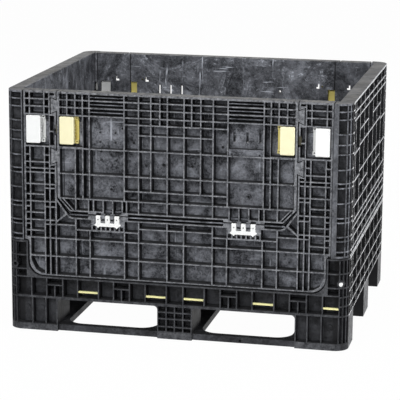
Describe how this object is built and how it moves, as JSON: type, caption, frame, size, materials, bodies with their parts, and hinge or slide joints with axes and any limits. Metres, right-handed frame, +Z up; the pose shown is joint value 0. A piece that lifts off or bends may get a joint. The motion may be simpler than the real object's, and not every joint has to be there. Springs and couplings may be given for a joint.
{
  "type": "collapsible bulk container",
  "caption": "Ribbed plastic pallet container that folds flat, with drop-down access doors, sliding latches and a runner base for fork trucks",
  "frame": {"origin": "on the ground under the middle of the container", "axes": "+X along the long side with the doors, to the right seen from the front; the front door faces -Y; +Z up"},
  "size_m": [1.2192, 1.016, 0.8636],
  "materials": {
    "moulding": "scuffed matte structural foam",
    "white": "satin",
    "yellow": "satin",
    "pins": "plain"
  },
  "bodies": {
    "base": {"base_deck": "moulding", "base_sill_front": "moulding", "base_sill_back": "moulding", "base_side_right": "moulding", "base_side_left": "moulding", "base_feet_front": "moulding", "base_feet_middle": "moulding", "base_feet_back": "moulding", "runner_right": "moulding", "runner_middle": "moulding", "runner_left": "moulding", "rail_front": "moulding", "rail_back": "moulding", "end_wall_right": "moulding", "end_wall_left": "moulding", "end_pins_right": "pins", "end_pins_left": "pins", "corner_plug_front": "white", "corner_plug_back": "white", "front_fold_pins": "pins", "back_fold_pins": "pins", "front_strips": "yellow", "back_strips": "yellow"},
    "front_wall": {"front_wall": "moulding", "front_hinge_right": "white", "front_hinge_left": "white", "front_hinge_pin_right": "pins", "front_hinge_pin_left": "pins"},
    "back_wall": {"back_wall": "moulding", "back_hinge_right": "white", "back_hinge_left": "white", "back_hinge_pin_right": "pins", "back_hinge_pin_left": "pins"},
    "front_door": {"front_door": "moulding"},
    "back_door": {"back_door": "moulding"},
    "front_wall_latch_right": {"front_wall_latch_right": "white"},
    "front_wall_latch_left": {"front_wall_latch_left": "white"},
    "back_wall_latch_right": {"back_wall_latch_right": "white"},
    "back_wall_latch_left": {"back_wall_latch_left": "white"},
    "front_door_latch_right": {"front_door_latch_right": "yellow"},
    "front_door_latch_left": {"front_door_latch_left": "yellow"},
    "back_door_latch_right": {"back_door_latch_right": "yellow"},
    "back_door_latch_left": {"back_door_latch_left": "yellow"}
  },
  "joints": [
    {"name": "front_wall_fold", "type": "hinge", "parent": "base", "child": "front_wall", "pos_m": [0, -0.444, 0.182], "axis": [1, 0, 0], "range_deg": [-90, 0]},
    {"name": "back_wall_fold", "type": "hinge", "parent": "base", "child": "back_wall", "pos_m": [0, 0.444, 0.238], "axis": [-1, 0, 0], "range_deg": [-90, 0]},
    {"name": "front_door_drop", "type": "hinge", "parent": "front_wall", "child": "front_door", "pos_m": [0, -0.5015, 0.425], "axis": [1, 0, 0], "range_deg": [0, 160]},
    {"name": "back_door_drop", "type": "hinge", "parent": "back_wall", "child": "back_door", "pos_m": [0, 0.5015, 0.425], "axis": [-1, 0, 0], "range_deg": [0, 160]},
    {"name": "front_wall_latch_right_slide", "type": "slide", "parent": "front_wall", "child": "front_wall_latch_right", "axis": [-1, 0, 0], "range_m": [0, 0.019]},
    {"name": "front_wall_latch_left_slide", "type": "slide", "parent": "front_wall", "child": "front_wall_latch_left", "axis": [1, 0, 0], "range_m": [0, 0.019]},
    {"name": "back_wall_latch_right_slide", "type": "slide", "parent": "back_wall", "child": "back_wall_latch_right", "axis": [1, 0, 0], "range_m": [0, 0.019]},
    {"name": "back_wall_latch_left_slide", "type": "slide", "parent": "back_wall", "child": "back_wall_latch_left", "axis": [-1, 0, 0], "range_m": [0, 0.019]},
    {"name": "front_door_latch_right_slide", "type": "slide", "parent": "front_door", "child": "front_door_latch_right", "axis": [-1, 0, 0], "range_m": [0, 0.019]},
    {"name": "front_door_latch_left_slide", "type": "slide", "parent": "front_door", "child": "front_door_latch_left", "axis": [1, 0, 0], "range_m": [0, 0.019]},
    {"name": "back_door_latch_right_slide", "type": "slide", "parent": "back_door", "child": "back_door_latch_right", "axis": [1, 0, 0], "range_m": [0, 0.019]},
    {"name": "back_door_latch_left_slide", "type": "slide", "parent": "back_door", "child": "back_door_latch_left", "axis": [-1, 0, 0], "range_m": [0, 0.019]}
  ]
}
